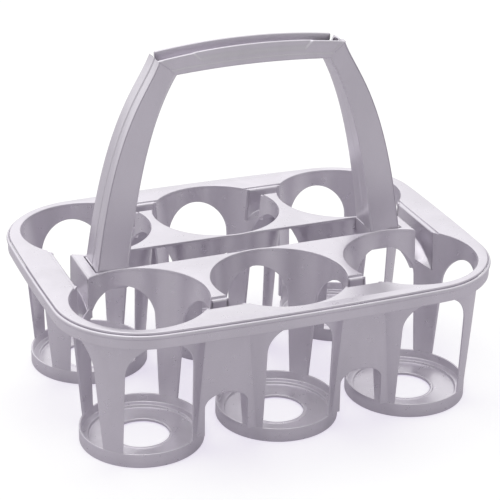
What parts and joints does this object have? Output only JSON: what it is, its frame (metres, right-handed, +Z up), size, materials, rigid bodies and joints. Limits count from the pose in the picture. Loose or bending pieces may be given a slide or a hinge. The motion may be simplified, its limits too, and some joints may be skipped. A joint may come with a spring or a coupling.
{
  "type": "six pack bottle carrier",
  "caption": "Moulded plastic bottle carrier: open tapering cups under a flat deck, with a tall bridge handle along the middle.",
  "frame": {"origin": "on the ground, under the middle of the carrier", "axes": "+Z up, +X along the rows of cups, +Y from the front row to the back row"},
  "size_m": [0.3512, 0.2638, 0.281],
  "materials": {
    "basket": "satin, with a fine metallic pigment",
    "handle": "satin, with a fine metallic pigment"
  },
  "bodies": {
    "root": {"rim": "basket", "outer_deck": "basket", "centre_deck": "basket", "front_left_cup": "basket", "front_middle_cup": "basket", "front_right_cup": "basket", "back_left_cup": "basket", "back_middle_cup": "basket", "back_right_cup": "basket", "front_left_base": "basket", "front_middle_base": "basket", "front_right_base": "basket", "back_left_base": "basket", "back_middle_base": "basket", "back_right_base": "basket", "front_left_web": "basket", "front_right_web": "basket", "back_left_web": "basket", "back_right_web": "basket", "left_outer_web": "basket", "right_outer_web": "basket", "left_inner_web": "basket", "right_inner_web": "basket", "front_left_neck_wall": "basket", "front_right_neck_wall": "basket", "back_left_neck_wall": "basket", "back_right_neck_wall": "basket", "front_left_neck_floor": "basket", "front_right_neck_floor": "basket", "back_left_neck_floor": "basket", "back_right_neck_floor": "basket", "left_end_floor": "basket", "right_end_floor": "basket", "left_foot": "handle", "right_foot": "handle", "left_leg": "handle", "right_leg": "handle", "grip": "handle"}
  },
  "joints": []
}
